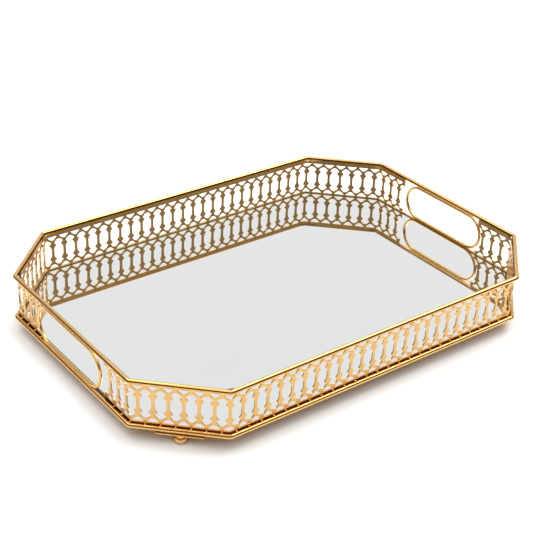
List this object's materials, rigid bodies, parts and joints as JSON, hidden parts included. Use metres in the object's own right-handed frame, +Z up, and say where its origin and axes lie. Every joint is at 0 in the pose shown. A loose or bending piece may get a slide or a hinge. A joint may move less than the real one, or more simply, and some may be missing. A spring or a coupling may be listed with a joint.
{
  "type": "mirrored vanity tray",
  "caption": "Long eight-sided mirror tray with a pierced metal gallery wall, stadium-shaped wire handles at its ends and small ball feet.",
  "frame": {"origin": "centre of the tray's plan, on the surface that the foot pads stand on", "axes": "+X along the length, from the left handle to the right handle; +Y from the front gallery to the rear gallery; +Z up"},
  "size_m": [0.379, 0.2712, 0.05],
  "materials": {
    "gold_wire": "round steel wire, polished gold plating",
    "gold_sheet": "pierced and plain steel sheet, polished gold plating with softened edges",
    "gold_cast": "turned feet and rivets, bright gold plating",
    "mirror": "clear float glass silvered on its underside, arrised edge",
    "fibre_board": "brown hard fibre board",
    "felt": "black pressed felt",
    "rubber": "matt black rubber",
    "steel": "zinc-plated pan-head screw"
  },
  "bodies": {
    "root": {"top_rim": "gold_wire", "base_rail": "gold_wire", "handle_left": "gold_wire", "handle_right": "gold_wire", "gallery_front": "gold_sheet", "gallery_rear": "gold_sheet", "gallery_corner_front_left": "gold_sheet", "gallery_corner_front_right": "gold_sheet", "gallery_corner_rear_left": "gold_sheet", "gallery_corner_rear_right": "gold_sheet", "gallery_end_left_front": "gold_sheet", "gallery_end_left_rear": "gold_sheet", "gallery_end_right_front": "gold_sheet", "gallery_end_right_rear": "gold_sheet", "mirror_glass": "mirror", "backing_board": "fibre_board", "base_pan": "gold_sheet", "felt_underside": "felt", "foot_plate_front_left": "gold_sheet", "rivet_front_left_left": "gold_cast", "rivet_front_left_right": "gold_cast", "foot_collar_front_left": "gold_cast", "foot_ball_front_left": "gold_cast", "foot_screw_front_left": "steel", "foot_pad_front_left": "rubber", "foot_plate_front_right": "gold_sheet", "rivet_front_right_left": "gold_cast", "rivet_front_right_right": "gold_cast", "foot_collar_front_right": "gold_cast", "foot_ball_front_right": "gold_cast", "foot_screw_front_right": "steel", "foot_pad_front_right": "rubber", "foot_plate_rear_left": "gold_sheet", "rivet_rear_left_left": "gold_cast", "rivet_rear_left_right": "gold_cast", "foot_collar_rear_left": "gold_cast", "foot_ball_rear_left": "gold_cast", "foot_screw_rear_left": "steel", "foot_pad_rear_left": "rubber", "foot_plate_rear_right": "gold_sheet", "rivet_rear_right_left": "gold_cast", "rivet_rear_right_right": "gold_cast", "foot_collar_rear_right": "gold_cast", "foot_ball_rear_right": "gold_cast", "foot_screw_rear_right": "steel", "foot_pad_rear_right": "rubber"}
  },
  "joints": []
}
